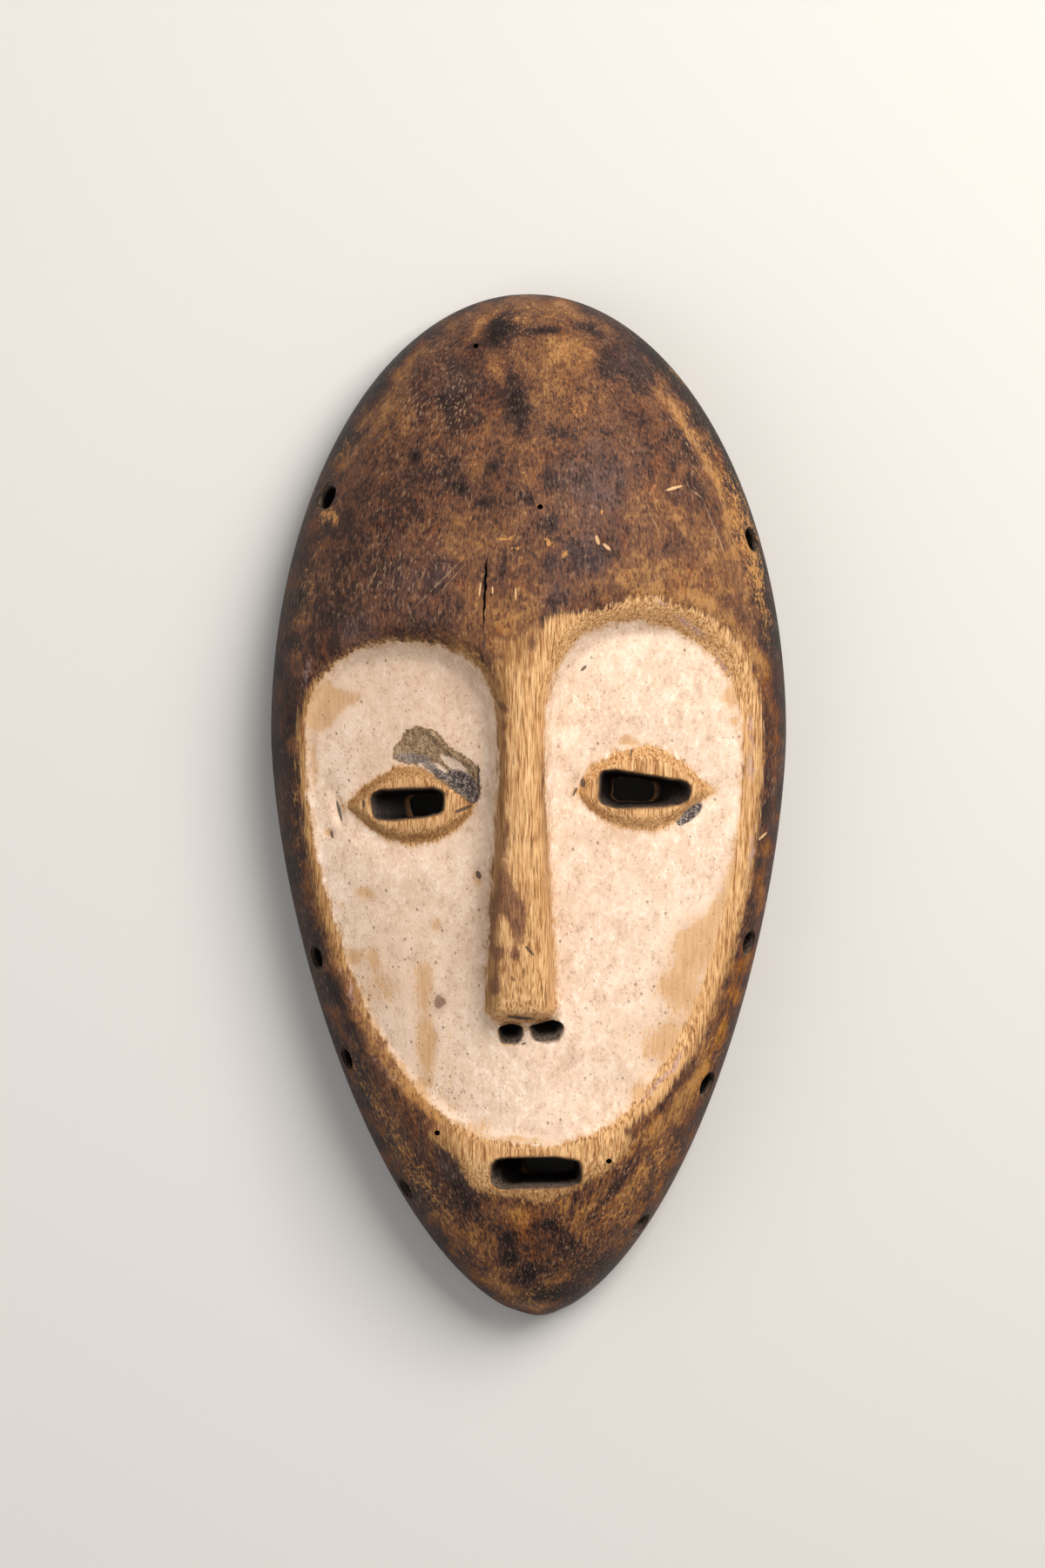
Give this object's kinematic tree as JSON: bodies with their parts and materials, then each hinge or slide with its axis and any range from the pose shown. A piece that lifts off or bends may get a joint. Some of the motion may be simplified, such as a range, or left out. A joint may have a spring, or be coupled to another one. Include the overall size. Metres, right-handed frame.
{
  "type": "lega mask",
  "caption": "Carved wooden face mask of egg-shaped outline with a hollow back, a whitened heart-shaped face, a straight nose, slit eyes, a slot mouth and tie holes round its edge.",
  "frame": {"origin": "middle of the outline's box, on the plane of the flat back edge that the mask lies on", "axes": "+Z out of the back and up through the face, +Y from chin to crown, +X towards the right of the face as it is looked at"},
  "size_m": [0.1414, 0.28, 0.0559],
  "materials": {
    "wood": "old carved hardwood: mottled dark brown handled patina with worn tan patches, bare ochre wood on the nose, lids and edges of the face, and a pitted pinkish-white clay coat in the face"
  },
  "bodies": {
    "root": {"carved_mask": "wood"}
  },
  "joints": []
}
